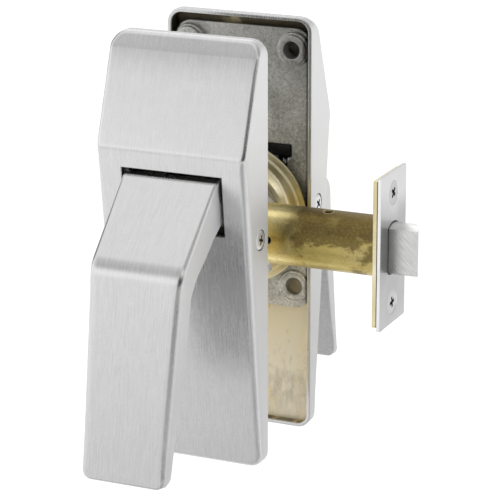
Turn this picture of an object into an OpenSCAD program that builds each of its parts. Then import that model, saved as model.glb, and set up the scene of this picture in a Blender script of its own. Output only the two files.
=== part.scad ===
// Push and pull paddle latch for a door: two trims, a tubular latch between them, and the drive that joins them.
// X runs along the latch and the bolt points to +X, Y goes through the door, Z is up.
// The origin is where the latch axis crosses the centre line of the trims. Units are millimetres.

/* [Door] */
// door thickness, the gap between the two trims
door_t = 40; // [38:0.5:44]
// backset, from the trims' centre line to the outside of the faceplate
backset = 69.85; // [66:0.05:80]

/* [Escutcheon] */
// width of each escutcheon
esc_w = 59; // [58:0.5:64]
// height of its top edge above the latch axis
esc_top = 77; // [75:0.5:84]
// depth of its bottom edge below the latch axis
esc_bot = 83; // [70:0.5:95]
// height of the crease between the two panels
crease_z = 37; // [34:0.5:40]
// how far the crease stands off the door
crease_d = 20; // [19:0.5:24]
// how far the top of the upper panel stands off the door
top_d = 7; // [6:0.5:9]
// how far the bottom of the lower panel stands off the door
bot_d = 5.6; // [5:0.2:8]
// wall of the panels
wall = 1.8; // [1.4:0.1:2.4]
// wall of the two sides
side_wall = 1.6; // [1.2:0.1:1.6]
// corner radius seen from the front
corner_r = 5.5; // [3:0.5:8]
// width of the pocket that the paddle comes out of
pocket_w = 39.4; // [38:0.2:42]
// top of the pocket
pocket_top = 30; // [29.5:0.1:32]
// bottom of the pocket
pocket_bot = 7.8; // [5:0.1:8]
// height of the side screws
side_screw_z = 5.2; // [4:0.1:8]
// distance of the side screws from the door
side_screw_d = 6.7; // [6:0.1:8]

/* [Mounting plate] */
// width of the plate
plate_w = 55.4; // [54:0.1:55.6]
// top edge of the plate
plate_top = 72; // [70:0.5:74]
// bottom edge of the plate, below the axis
plate_bot = 36; // [33:0.5:38]
// distance of each through-bolt hole from the centre line
bolt_x = 21.2; // [20.5:0.1:21.4]
// height of the upper through-bolt holes
bolt_z_up = 64.5; // [62:0.5:65]
// height of the lower through-bolt holes, below the axis
bolt_z_low = 27.5; // [26:0.5:29]
// radius of the through-bolt holes
bolt_hole_r = 3.4; // [2.6:0.1:3.6]

/* [Hub ring] */
// outer radius of the ring's flange
ring_r = 27.6; // [26:0.1:27.7]
// radius of the hole through the ring
ring_hole_r = 17; // [16.5:0.1:17.4]

/* [Paddle] */
// height of the pivot pin
pivot_z = 25; // [24.6:0.1:25.4]
// distance of the pivot pin from the door
pivot_d = 12; // [11.6:0.1:12.2]
// radius of the pivot pin
pivot_r = 2.25; // [2:0.05:2.4]
// half width of the paddle in the pocket
paddle_hw = 18.5; // [17.8:0.1:18.8]
// half width of the paddle at its lower end
paddle_hw_low = 16.8; // [15:0.1:17.6]
// height of the drive pin, below the axis
drive_z = 9.5; // [9:0.1:10]
// distance of the drive pin from the door
drive_d = 3; // [2.6:0.1:3.2]
// radius of the drive pin
drive_r = 1.5; // [1.2:0.1:1.6]

/* [Drive] */
// how far the push rod moves through the door
rod_travel = 5.4; // [5:0.01:5.6]
// how far the tail pulls the bolt back
throw = 12; // [9:0.5:12]
// clearance of the tail pin in the cam slot
slot_gap = 0.15; // [0.1:0.05:0.3]

/* [Latch] */
// outer radius of the latch tube
tube_r = 11.1; // [10.8:0.1:12]
// wall of the latch tube
tube_wall = 1.2; // [1:0.1:1.2]
// radius of the round bar that the bolt is cut from
bolt_r = 9.5; // [9:0.1:9.5]
// flat side of the bolt, from the latch axis
bolt_flat = 4.7; // [4:0.1:6]
// back of the bolt, from the latch axis
bolt_back = 6.3; // [5:0.1:6.5]
// how far the bolt stands out of the faceplate
bolt_out = 11.4; // [9.5:0.1:12.7]
// height of the faceplate
face_h = 57.15; // [55:0.05:60]
// width of the faceplate
face_w = 25.4; // [23:0.1:28.6]
// thickness of the faceplate
face_t = 1.2; // [1:0.1:1.5]
// gap between faceplate and backing plate
face_gap = 0.5; // [0.5:0.1:1]
// thickness of the backing plate
back_t = 1.5; // [1.5:0.1:2.5]
// distance of the two faceplate screws from the latch axis
face_screw_z = 20.6; // [19:0.1:22]

/* [Hidden] */
$fn = 64;
half = door_t / 2;
hw = esc_w / 2;
zb = -esc_bot;
up_slope = (crease_d - top_d) / (esc_top - 2.8 - crease_z);
low_slope = (crease_d - bot_d) / (crease_z + esc_bot - 1);
plate_d0 = 3.6;
plate_d1 = 6.4;
plate_dt = 5.2;
bf = backset;
back_x1 = bf - face_t - face_gap;
back_x0 = back_x1 - back_t;
tube_x0 = 13;
tip_x = bf + bolt_out;
slot_a = atan2(rod_travel, throw);
slot_l = sqrt(rod_travel * rod_travel + throw * throw);
rivet_a = [-10, 190, 270];
rivet_at = 23.2;
hub_r = 4.2;
rod_up = 4.9;
cam_t = 2.6;

// ---- helpers ----

// a flat outline in Y and Z, pulled along X
module along_x(x0, x1) { translate([x0, 0, 0]) rotate([90, 0, 90]) linear_extrude(x1 - x0) children(); }

// a flat outline in X and Z, pulled away from the door between two distances
module off_door(d0, d1) { translate([0, -d0, 0]) rotate([90, 0, 0]) linear_extrude(d1 - d0) children(); }

// a box in X, distance from the door, and Z
module dbox(x0, x1, d0, d1, z0, z1) { translate([x0, -d1, z0]) cube([x1 - x0, d1 - d0, z1 - z0]); }

// a round bar along X at a distance from the door and a height
module xrod(r, x0, x1, d, z) { translate([x0, -d, z]) rotate([0, 90, 0]) cylinder(r = r, h = x1 - x0); }

// a round bar that points away from the door
module drod(r, d0, d1, x, z) { translate([x, -d0, z]) rotate([90, 0, 0]) cylinder(r = r, h = d1 - d0); }

// a rounded rectangle in X and Z
module rrect(x0, x1, z0, z1, r) {
    translate([x0 + r, z0]) square([x1 - x0 - 2 * r, z1 - z0]);
    translate([x0, z0 + r]) square([x1 - x0, z1 - z0 - 2 * r]);
    for (x = [x0 + r, x1 - r], z = [z0 + r, z1 - r]) translate([x, z]) circle(r);
}

// the front trim stands as drawn, the rear trim is turned half a turn
module at_front() { translate([0, -half, 0]) children(); }
module at_rear() { rotate([0, 0, 180]) translate([0, -half, 0]) children(); }

// outline seen from the side: distance from the door is given as a positive number
function dz(list) = [for (p = list) [-p[0], p[1]]];

// round wire along a path that never runs along X
function unit(v) = v / norm(v);
function tangent(p, i) = unit(p[min(i + 1, len(p) - 1)] - p[max(i - 1, 0)]);
module wire(p, r, n) {
    pts = [for (i = [0:len(p) - 1])
        let (t = tangent(p, i), b = unit(cross(t, [1, 0, 0])), a = cross(b, t))
        for (k = [0:n - 1]) p[i] + r * (cos(360 * k / n) * a + sin(360 * k / n) * b)];
    m = len(p);
    polyhedron(pts, concat(
        [[for (k = [0:n - 1]) k]],
        [for (i = [0:m - 2], k = [0:n - 1]) [i * n + k, (i + 1) * n + k, (i + 1) * n + (k + 1) % n]],
        [for (i = [0:m - 2], k = [0:n - 1]) [i * n + k, (i + 1) * n + (k + 1) % n, i * n + (k + 1) % n]],
        [[for (k = [0:n - 1]) (m - 1) * n + n - 1 - k]]));
}

// ---- trim pieces, drawn for the front ----

function esc_outer() = dz([[0, esc_top], [top_d - 3.4, esc_top], [top_d - 1.3, esc_top - 0.8], [top_d, esc_top - 2.8],
    [crease_d, crease_z], [bot_d, zb + 1], [bot_d - 0.8, zb], [0, zb]]);
function esc_inner() = dz([[-1, esc_top - wall], [top_d - 3.6, esc_top - wall], [top_d - 1.9, esc_top - 2.8 - wall * 0.6],
    [crease_d - wall * 1.06, crease_z - 0.3],
    [bot_d - wall * 1.01, zb + wall], [-1, zb + wall]]);

module escutcheon() {
    difference() {
        intersection() {
            off_door(0, crease_d + 2) rrect(-hw, hw, zb, esc_top, corner_r);
            along_x(-hw - 1, hw + 1) polygon(esc_outer());
        }
        intersection() {
            off_door(-1, crease_d + 2) rrect(-hw + side_wall, hw - side_wall, zb + wall, esc_top - wall, corner_r - side_wall);
            along_x(-hw, hw) polygon(esc_inner());
        }
        dbox(-pocket_w / 2, pocket_w / 2, 8, crease_d + 5, pocket_bot, pocket_top);
        for (s = [0, 1]) mirror([s, 0, 0]) {
            xrod(2.2, hw - side_wall - 1, hw + 1, side_screw_d, side_screw_z);
            xrod(3.9, hw - 0.7, hw + 1, side_screw_d, side_screw_z);
        }
    }
}

module side_screw() {
    difference() {
        union() {
            xrod(3.6, hw - 0.65, hw - 0.15, side_screw_d, side_screw_z);
            translate([hw - 0.15, -side_screw_d, side_screw_z]) rotate([0, 90, 0]) cylinder(r1 = 3.6, r2 = 2.4, h = 0.7);
            xrod(1.9, hw - 8, hw - 0.4, side_screw_d, side_screw_z);
        }
        for (a = [20, 110]) translate([hw + 0.1, -side_screw_d, side_screw_z]) rotate([a, 0, 0]) cube([1.4, 0.9, 4], center = true);
    }
}
module side_screws() { side_screw(); mirror([1, 0, 0]) side_screw(); }

module mounting_plate() {
    phw = plate_w / 2;
    difference() {
        union() {
            off_door(plate_d0, plate_dt) rrect(-phw, phw, -plate_bot, plate_top, 6.4);
            off_door(plate_d0 + 0.5, plate_d1) rrect(-phw, phw, -plate_bot, 60, 6.4);
            for (s = [-1, 1]) {
                drod(6.3, 1.6, plate_d0 + 1, s * bolt_x, bolt_z_up);
                drod(5.5, 0, plate_d0 + 1, s * bolt_x, bolt_z_up);
                drod(6, plate_d0 - 0.4, plate_d0 + 1, s * bolt_x, -bolt_z_low);
            }
            for (s = [0, 1]) mirror([s, 0, 0]) {
                dbox(20.5, phw, plate_d1 - 1, 10.4, side_screw_z - 4.2, side_screw_z + 4.2);
                dbox(18.8, 21.1, plate_d1 - 1, 15, 19.5, 31);
            }
            dbox(-7, -4.2, plate_d1 - 1, 14.5, 34.6, 37.6);
            dbox(-7, 1, 9.5, 14.5, 34.6, 37.6);
        }
        off_door(-1, 9) circle(ring_hole_r + 0.5);
        dbox(-8.3, 8.3, -1, 9, 0, 20);
        dbox(-20.3, 20.3, -1, plate_d1 + 0.1, 22.4, 27.8);
        for (s = [0, 1]) mirror([s, 0, 0]) dbox(13.5, 18.3, -1, plate_d1 + 0.1, 17.5, 23);
        xrod(pivot_r + 0.04, -30, 30, pivot_d, pivot_z);
        for (s = [-1, 1], z = [bolt_z_up, -bolt_z_low]) drod(bolt_hole_r, -5, 10, s * bolt_x, z);
        for (s = [0, 1]) mirror([s, 0, 0]) xrod(1.94, 18, 30, side_screw_d, side_screw_z);
        for (a = rivet_a) drod(1.06, -1, 9, rivet_at * cos(a), rivet_at * sin(a));
    }
}

module hub_ring() {
    rotate([90, 0, 0]) difference() {
        rotate_extrude($fn = 128) polygon([[ring_hole_r, -3.2], [ring_hole_r + 0.9, -4], [20.4, -4], [21.2, -3.7], [21.6, -2.9],
            [21.8, -0.9], [24.6, -0.9], [25, -0.6], [25.1, 0], [ring_r - 0.3, 0], [ring_r, 0.3], [ring_r, 1], [24.4, 1.3],
            [24.4, plate_d0], [ring_hole_r, plate_d0]]);
        for (a = rivet_a) translate([rivet_at * cos(a), rivet_at * sin(a), -3]) cylinder(r = 1.06, h = 9);
    }
}

module ring_rivets() {
    for (a = rivet_a) {
        drod(1, -1, plate_d1 + 0.1, rivet_at * cos(a), rivet_at * sin(a));
        translate([rivet_at * cos(a), 0.9, rivet_at * sin(a)]) rotate([-90, 0, 0]) cylinder(r1 = 1.25, r2 = 0.8, h = 0.5);
        translate([rivet_at * cos(a), -plate_d1, rivet_at * sin(a)]) rotate([90, 0, 0]) cylinder(r1 = 1.25, r2 = 0.8, h = 0.5);
    }
}

module pivot_pin() {
    difference() {
        union() {
            xrod(pivot_r, -22.8, 22.8, pivot_d, pivot_z);
        }
        for (s = [0, 1]) mirror([s, 0, 0]) difference() {
            xrod(pivot_r + 1, 21.25, 22.05, pivot_d, pivot_z);
            xrod(pivot_r - 0.55, 21, 22.5, pivot_d, pivot_z);
        }
    }
}

module pin_clips() {
    for (s = [0, 1]) mirror([s, 0, 0]) difference() {
        xrod(3.9, 21.3, 22, pivot_d, pivot_z);
        xrod(pivot_r - 0.53, 21, 22.5, pivot_d, pivot_z);
        dbox(21, 22.5, pivot_d, pivot_d + 6, pivot_z - 1.2, pivot_z + 1.2);
    }
}

// side -1 keeps both legs on the door's side of the pin, +1 on the far side
module return_spring(side) {
    r = 3.15;
    turns = 4;
    seg = 16;
    coil = [for (i = [0:turns * seg]) let (a = 360 * i / seg) [-3 + 6 * i / (turns * seg),
        -(pivot_d + side * r * cos(a)), pivot_z - r * sin(a)]];
    wire(concat([[-3, -(pivot_d + side * r), 38.4], [-3, -(pivot_d + side * r), 30]], coil,
        [[3, -(pivot_d + side * r), 20.6], [3, -(pivot_d + side * r), 13.6]]), 0.5, 8);
}

paddle_line = [[13.4, 28.9], [16, 28.6], [18.4, 28.3], [20.2, 27.7], [21.7, 26.85], [44.84, 4.78], [47.14, 1.76], [48.39, -1.83],
    [60.3, -69.5], [60.6, -71.7], [60.2, -73.1], [58.9, -73.9], [57.1, -73.2], [56, -71.4], [53.7, -62.5], [49.8, -50], [44.2, -28],
    [40.8, -8.6], [39.2, -5.4], [36.2, -1.9], [29, 3], [22.5, 8.2], [19.6, 10.1], [17.2, 11.4], [14.4, 12.6], [12, 14.2],
    [10.6, 17], [9, 21.6], [10.4, 25]];

module paddle_plan() {
    polygon([[-paddle_hw, 40], [paddle_hw, 40], [paddle_hw, 2], [paddle_hw_low, -69.9],
        [-paddle_hw_low, -69.9], [-paddle_hw, 2]]);
    translate([-paddle_hw_low + 4, -76]) square([2 * paddle_hw_low - 8, 10]);
    for (s = [-1, 1]) translate([s * (paddle_hw_low - 4), -69.9]) circle(4);
}

module paddle() {
    difference() {
        union() {
            intersection() {
                along_x(-20, 20) polygon(dz(paddle_line));
                off_door(0, 70) paddle_plan();
            }
            xrod(hub_r, -17.6, 17.6, pivot_d, pivot_z);
            for (s = [0, 1]) mirror([s, 0, 0]) {
                along_x(4, 7.5) polygon(dz([[9, 22], [9, 16], [drive_d - 3.1, -drive_z + 1], [drive_d + 3.1, -drive_z - 0.6],
                    [12, 12], [13.4, 13.6], [15, 18], [15, 22]]));
                xrod(3.2, 4, 7.5, drive_d, -drive_z);
            }
        }
        dbox(-4, 4, -5, 16.3, 9, 31);
        xrod(3.2, -20, 20, pivot_d, pivot_z);
        for (s = [0, 1]) mirror([s, 0, 0]) xrod(6.9, 17.65, 21, pivot_d, pivot_z);
        xrod(drive_r + 0.04, -9, 9, drive_d, -drive_z);
    }
    dbox(-4.2, 4.2, 9.5, 14.5, 13.6, 16.4);
}

module paddle_bushes() {
    for (s = [0, 1]) mirror([s, 0, 0]) difference() {
        union() {
            xrod(3.15, 10, 18, pivot_d, pivot_z);
            xrod(4, 17.8, 18.5, pivot_d, pivot_z);
        }
        xrod(pivot_r + 0.05, 9, 19, pivot_d, pivot_z);
    }
}

module drive_pin() { xrod(drive_r, -7.5, 7.5, drive_d, -drive_z); }

// ---- drive between the trims ----

module rod_body() {
    y1 = half + drive_d + 3.2;
    difference() {
        translate([-3.5, -y1, -drive_z - 4.2]) cube([7, 2 * y1, rod_up + 4.2]);
        translate([-5, -half - drive_d - drive_r - 0.25, -drive_z - drive_r - 0.3]) cube([10, 2 * drive_r + 0.5, 2 * drive_r + 2.5]);
        translate([-5, half + drive_d - drive_r - 0.25, -drive_z - drive_r - 1.3]) cube([10, 2 * drive_r + 0.5, 2 * drive_r + 1.6]);
        for (y = [-9, 9]) translate([0, y, -drive_z - 1]) cylinder(r = 1.22, h = 8);
    }
}

module cam_body() {
    z0 = -drive_z + rod_up;
    difference() {
        translate([0, 0, z0]) linear_extrude(cam_t) polygon([[5.2, -12], [5.2, 12], [-5, 12], [-5, 4.5],
            [-throw - 5.4, -rod_travel + 4.1], [-throw - 5.4, -rod_travel - 4.9], [-throw - 2.5, -12]]);
        translate([0, 0, z0 - 1]) cylinder(r = 2.35, h = 5);
        translate([-throw, -rod_travel, z0 - 1]) cylinder(r = 2.35, h = 5);
        translate([0, 0, z0 - 1]) rotate([0, 0, 180 + slot_a]) translate([0, -2 - slot_gap, 0]) cube([slot_l, 4 + 2 * slot_gap, 5]);
        for (y = [-9, 9]) translate([0, y, z0 - 1]) cylinder(r = 1.22, h = 5);
    }
}

module cam_rivet_pair() {
    for (y = [-9, 9]) translate([0, y, -drive_z]) {
        cylinder(r = 1.2, h = rod_up + cam_t + 0.05);
        translate([0, 0, rod_up + cam_t]) cylinder(r1 = 1.8, r2 = 1.4, h = 0.3);
    }
}

module tail_body() {
    difference() {
        union() {
            translate([-5, -4, -1.5]) cube([10, 8, 3]);
            translate([0, -3, -1.5]) cube([46.8, 6, 3]);
            translate([46.4, 0, 0]) rotate([0, 90, 0]) cylinder(r = 5.5, h = 2.8);
        }
        translate([0, 0, -5]) cylinder(r = 2.04, h = 10);
    }
}

module cradle_body() {
    difference() {
        union() {
            translate([12.6, 0, 0]) rotate([0, 90, 0]) cylinder(r = tube_r + 2.2, h = 6);
            translate([9, -8, -17]) cube([9.6, 16, 7]);
            translate([-8, -8, -17]) cube([20, 16, 3.1]);
            for (x = [-7.6, 3.7]) translate([x, -8, -14.2]) cube([3.9, 16, 8.6]);
        }
        translate([13, 0, 0]) rotate([0, 90, 0]) cylinder(r = tube_r + 0.02, h = 10);
        translate([8, 0, 0]) rotate([0, 90, 0]) cylinder(r = tube_r - 2, h = 10);
    }
}

// ---- latch ----

module bolt_outline(g) {
    intersection() {
        circle(bolt_r + g);
        translate([-bolt_r - 2, -bolt_flat - g]) square([2 * bolt_r + 4, bolt_flat + bolt_back + 2 * g]);
    }
}

// turns a flat outline in Z and Y so that it runs along X
module run_x(x0, x1) { translate([x0, 0, 0]) rotate([0, 90, 0]) linear_extrude(x1 - x0) children(); }

module bolt_body() {
    difference() {
        intersection() {
            run_x(43, tip_x + 1) bolt_outline(0);
            union() {
                translate([42, -20, -20]) cube([bf - 1.8 - 42, 40, 40]);
                translate([bf - 2.35, -7.5, -20]) intersection() {
                    cylinder(r = 14, h = 40, $fn = 96);
                    translate([0, -5, 0]) cube([bolt_out + 2.35, 30, 40]);
                }
            }
        }
        translate([42, 0, 0]) rotate([0, 90, 0]) cylinder(r = 5.8, h = 20);
        translate([42, -bolt_flat - 1, -20]) cube([1, 30, 40]);
    }
}

module collar_body() {
    difference() {
        translate([43.2, 0, 0]) rotate([0, 90, 0]) cylinder(r = 5.78, h = 2.8);
        translate([42, -3.3, -1.8]) cube([6, 6.6, 3.6]);
    }
}

module bolt_coil() {
    turns = 7;
    seg = 16;
    x0 = 18.2;
    x1 = 42.4;
    r = 7;
    wire([for (i = [0:turns * seg]) let (a = 360 * i / seg) [x0 + (x1 - x0) * i / (turns * seg), r * cos(a), r * sin(a)]], 0.5, 8);
}

module tube_body() {
    difference() {
        translate([tube_x0, 0, 0]) rotate([0, 90, 0]) cylinder(r = tube_r, h = back_x0 - tube_x0);
        translate([tube_x0 - 1, 0, 0]) rotate([0, 90, 0]) cylinder(r = tube_r - tube_wall, h = back_x0 - tube_x0 + 2);
        translate([45.2, 0, tube_r + 1.1]) sphere(r = 1.7);
        translate([25, 0, 0.5]) rotate([90, 0, 0]) cylinder(r = 1.5, h = 20);
    }
}

module guide_body() {
    difference() {
        translate([13.6, 0, 0]) rotate([0, 90, 0]) cylinder(r = tube_r - tube_wall - 0.02, h = 4);
        translate([10, -3.3, -1.8]) cube([10, 6.6, 3.6]);
    }
}

module plate_outline(w, h, r) { rrect(-w / 2, w / 2, -h / 2, h / 2, r); }

module stand_x(x0, x1) { translate([x0, 0, 0]) rotate([90, 0, 90]) linear_extrude(x1 - x0) children(); }

module backing_body() {
    difference() {
        union() {
            stand_x(back_x0, back_x1) plate_outline(face_w - 1.4, face_h - 2.2, 1);
            for (s = [-1, 1]) translate([back_x1 - 0.2, 0, s * face_screw_z]) rotate([0, 90, 0]) cylinder(r = 5.4, h = face_gap + 0.2);
        }
        run_x(back_x0 - 1, back_x1 + 1) bolt_outline(0.45);
        for (s = [-1, 1]) translate([0, 0, s * face_screw_z]) {
            translate([back_x0 - 1, 0, 0]) rotate([0, 90, 0]) cylinder(r = 2.02, h = 9);
            translate([bf - 2.63, 0, 0]) rotate([0, 90, 0]) cylinder(r1 = 2.02, r2 = 4.72, h = 2.7);
        }
    }
}

module face_body() {
    difference() {
        stand_x(bf - face_t, bf) plate_outline(face_w, face_h, 0.8);
        run_x(bf - face_t - 1, bf + 1) bolt_outline(0.45);
        for (s = [-1, 1]) translate([bf - 2.63, 0, s * face_screw_z]) rotate([0, 90, 0]) cylinder(r1 = 2.02, r2 = 4.72, h = 2.7);
    }
}

module face_screw_pair() {
    for (s = [-1, 1]) translate([0, 0, s * face_screw_z]) difference() {
        union() {
            translate([bf - 2.62, 0, 0]) rotate([0, 90, 0]) cylinder(r1 = 2, r2 = 4.55, h = 2.55);
            translate([back_x0 - 1.4, 0, 0]) rotate([0, 90, 0]) cylinder(r = 2, h = 4);
        }
        for (a = [35, 125]) translate([bf, 0, 0]) rotate([a, 0, 0]) cube([2.4, 1.1, 5], center = true);
    }
}

// ---- nodes ----

module front_escutcheon() { color([0.75, 0.75, 0.76]) at_front() escutcheon(); }
module rear_escutcheon() { color([0.75, 0.75, 0.76]) at_rear() escutcheon(); }
module front_mounting_plate() { color([0.55, 0.56, 0.57]) at_front() mounting_plate(); }
module rear_mounting_plate() { color([0.55, 0.56, 0.57]) at_rear() mounting_plate(); }
module front_hub_ring() { color([0.85, 0.72, 0.42]) at_front() hub_ring(); }
module rear_hub_ring() { color([0.85, 0.72, 0.42]) at_rear() hub_ring(); }
module front_ring_rivets() { color([0.6, 0.6, 0.6]) at_front() ring_rivets(); }
module rear_ring_rivets() { color([0.6, 0.6, 0.6]) at_rear() ring_rivets(); }
module front_pivot_pin() { color([0.12, 0.12, 0.13]) at_front() pivot_pin(); }
module rear_pivot_pin() { color([0.12, 0.12, 0.13]) at_rear() pivot_pin(); }
module front_pin_clips() { color([0.15, 0.15, 0.16]) at_front() pin_clips(); }
module rear_pin_clips() { color([0.15, 0.15, 0.16]) at_rear() pin_clips(); }
module front_side_screws() { color([0.8, 0.8, 0.8]) at_front() side_screws(); }
module rear_side_screws() { color([0.8, 0.8, 0.8]) at_rear() side_screws(); }
module front_return_spring() { color([0.5, 0.5, 0.5]) at_front() return_spring(-1); }
module rear_return_spring() { color([0.5, 0.5, 0.5]) at_rear() return_spring(1); }
module front_paddle() { color([0.78, 0.78, 0.79]) at_front() paddle(); }
module rear_paddle() { color([0.78, 0.78, 0.79]) at_rear() paddle(); }
module front_paddle_bushes() { color([0.1, 0.1, 0.1]) at_front() paddle_bushes(); }
module rear_paddle_bushes() { color([0.1, 0.1, 0.1]) at_rear() paddle_bushes(); }
module front_drive_pin() { color([0.4, 0.4, 0.42]) at_front() drive_pin(); }
module rear_drive_pin() { color([0.4, 0.4, 0.42]) at_rear() drive_pin(); }
module push_rod() { color([0.5, 0.5, 0.52]) rod_body(); }
module cam_plate() { color([0.6, 0.6, 0.6]) cam_body(); }
module cam_rivets() { color([0.7, 0.7, 0.7]) cam_rivet_pair(); }
module latch_tail() { color([0.6, 0.58, 0.5]) tail_body(); }
module tail_pin() { color([0.4, 0.4, 0.42]) translate([0, 0, -drive_z + rod_up + 0.3]) cylinder(r = 2, h = 1.2 + drive_z - rod_up); }
module latch_bolt() { color([0.8, 0.8, 0.8]) bolt_body(); }
module bolt_collar() { color([0.75, 0.65, 0.35]) collar_body(); }
module bolt_spring() { color([0.5, 0.5, 0.5]) bolt_coil(); }
module latch_tube() { color([0.75, 0.62, 0.33]) tube_body(); }
module tail_guide() { color([0.2, 0.2, 0.2]) guide_body(); }
module rod_cradle() { color([0.55, 0.56, 0.57]) cradle_body(); }
module backing_plate() { color([0.8, 0.68, 0.4]) backing_body(); }
module faceplate() { color([0.78, 0.78, 0.79]) face_body(); }
module faceplate_screws() { color([0.8, 0.8, 0.8]) face_screw_pair(); }

front_escutcheon();
rear_escutcheon();
front_mounting_plate();
rear_mounting_plate();
front_hub_ring();
rear_hub_ring();
front_ring_rivets();
rear_ring_rivets();
front_pivot_pin();
rear_pivot_pin();
front_pin_clips();
rear_pin_clips();
front_side_screws();
rear_side_screws();
front_return_spring();
rear_return_spring();
front_paddle();
rear_paddle();
front_paddle_bushes();
rear_paddle_bushes();
front_drive_pin();
rear_drive_pin();
push_rod();
cam_plate();
cam_rivets();
latch_tail();
tail_pin();
latch_bolt();
bolt_collar();
bolt_spring();
latch_tube();
tail_guide();
rod_cradle();
backing_plate();
faceplate();
faceplate_screws();
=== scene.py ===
import bpy, bmesh, math
from mathutils import Vector, Matrix


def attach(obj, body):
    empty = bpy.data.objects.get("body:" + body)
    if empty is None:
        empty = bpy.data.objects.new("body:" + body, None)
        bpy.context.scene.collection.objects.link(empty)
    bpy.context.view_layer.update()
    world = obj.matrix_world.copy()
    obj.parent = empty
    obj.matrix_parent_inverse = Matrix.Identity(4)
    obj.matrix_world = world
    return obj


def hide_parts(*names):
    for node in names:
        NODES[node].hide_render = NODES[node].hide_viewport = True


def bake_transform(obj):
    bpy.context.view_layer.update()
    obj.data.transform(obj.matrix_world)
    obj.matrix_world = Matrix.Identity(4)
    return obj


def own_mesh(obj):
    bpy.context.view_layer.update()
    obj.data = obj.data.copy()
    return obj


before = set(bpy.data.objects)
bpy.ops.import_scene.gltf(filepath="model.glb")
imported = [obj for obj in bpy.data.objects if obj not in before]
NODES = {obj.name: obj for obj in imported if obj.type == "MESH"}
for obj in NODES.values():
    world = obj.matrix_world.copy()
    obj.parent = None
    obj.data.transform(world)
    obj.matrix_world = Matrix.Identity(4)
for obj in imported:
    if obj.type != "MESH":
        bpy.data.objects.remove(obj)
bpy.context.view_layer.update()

MM = 0.001
scene = bpy.context.scene


# ------------------------------------------------------------------ mesh helpers

def finish_mesh(name, verts, faces, mats, face_mats=None, sharp=32, scale=MM, weighted=True, recalc=True):
    """A mesh object in the row frame from millimetre points."""
    me = bpy.data.meshes.new(name)
    me.from_pydata([(v[0] * scale, v[1] * scale, v[2] * scale) for v in verts], [], faces)
    for m in mats:
        me.materials.append(m)
    if face_mats:
        for p, k in zip(me.polygons, face_mats):
            p.material_index = k
    me.update()
    bm = bmesh.new()
    bm.from_mesh(me)
    bmesh.ops.remove_doubles(bm, verts=bm.verts, dist=2e-7)
    bmesh.ops.dissolve_degenerate(bm, edges=bm.edges, dist=1e-7)
    if recalc:
        bmesh.ops.recalc_face_normals(bm, faces=bm.faces)
        if bm.calc_volume(signed=True) < 0:
            bmesh.ops.reverse_faces(bm, faces=bm.faces)
    bm.to_mesh(me)
    bm.free()
    o = bpy.data.objects.new(name, me)
    scene.collection.objects.link(o)
    smooth(o, sharp, weighted)
    return o


def smooth(o, sharp=32, weighted=True):
    me = o.data
    for p in me.polygons:
        p.use_smooth = True
    me.set_sharp_from_angle(angle=math.radians(sharp))
    if weighted:
        w = o.modifiers.new("weights", "WEIGHTED_NORMAL")
        w.keep_sharp = True
        w.mode = "FACE_AREA"
        w.weight = 50


def bake(o):
    """Applies the modifiers by hand."""
    dg = bpy.context.evaluated_depsgraph_get()
    me = bpy.data.meshes.new_from_object(o.evaluated_get(dg), preserve_all_data_layers=True, depsgraph=dg)
    old = o.data
    o.modifiers.clear()
    o.data = me
    if old.users == 0:
        bpy.data.meshes.remove(old)


def cut(o, *tools):
    """Takes the tools out of o, one after another."""
    for t in tools:
        m = o.modifiers.new("cut", "BOOLEAN")
        m.operation = "DIFFERENCE"
        m.solver = "EXACT"
        m.use_self = True
        m.object = t
        bake(o)
        me = t.data
        bpy.data.objects.remove(t)
        bpy.data.meshes.remove(me)


def rounded(points, n=6):
    """Closed outline with its corners rounded: points are (a, b, radius)."""
    out = []
    m = len(points)
    for i, (a, b, r) in enumerate(points):
        p = Vector((a, b))
        q = Vector(points[i - 1][:2]) - p
        s = Vector(points[(i + 1) % m][:2]) - p
        turn = math.pi - q.angle(s)
        t = min(r * math.tan(turn / 2), 0.46 * q.length, 0.46 * s.length)
        if t < 1e-4:
            out.append((a, b))
            continue
        p0, p1 = p + q.normalized() * t, p + s.normalized() * t
        # circular where the radius fits, else the closest smooth corner
        for k in range(n + 1):
            u = k / n
            w = 1 / max(math.cos(turn / 2), 0.2)
            c0, c1, c2 = (1 - u) ** 2, 2 * u * (1 - u) / w, u * u
            z = c0 + c1 + c2
            out.append(tuple((p0 * c0 + p * c1 + p1 * c2) / z))
    clean = []
    for q in out:
        if not clean or (Vector(q) - Vector(clean[-1])).length > 0.02:
            clean.append(q)
    if (Vector(clean[0]) - Vector(clean[-1])).length < 0.02:
        clean.pop()
    return clean


def lathe(profile, place, seg=96, closed=True, start=0.0, turn=2 * math.pi):
    """Turns (radius, height) round an axis. place maps (a, b, h) to the row frame."""
    verts, faces = [], []
    n = len(profile)
    for i in range(seg):
        a = start + turn * i / seg
        for r, h in profile:
            verts.append(place(r * math.cos(a), r * math.sin(a), h))
    for i in range(seg):
        j = (i + 1) % seg
        for k in range(n if closed else n - 1):
            l = (k + 1) % n
            faces.append((i * n + k, j * n + k, j * n + l, i * n + l))
    return verts, faces


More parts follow.
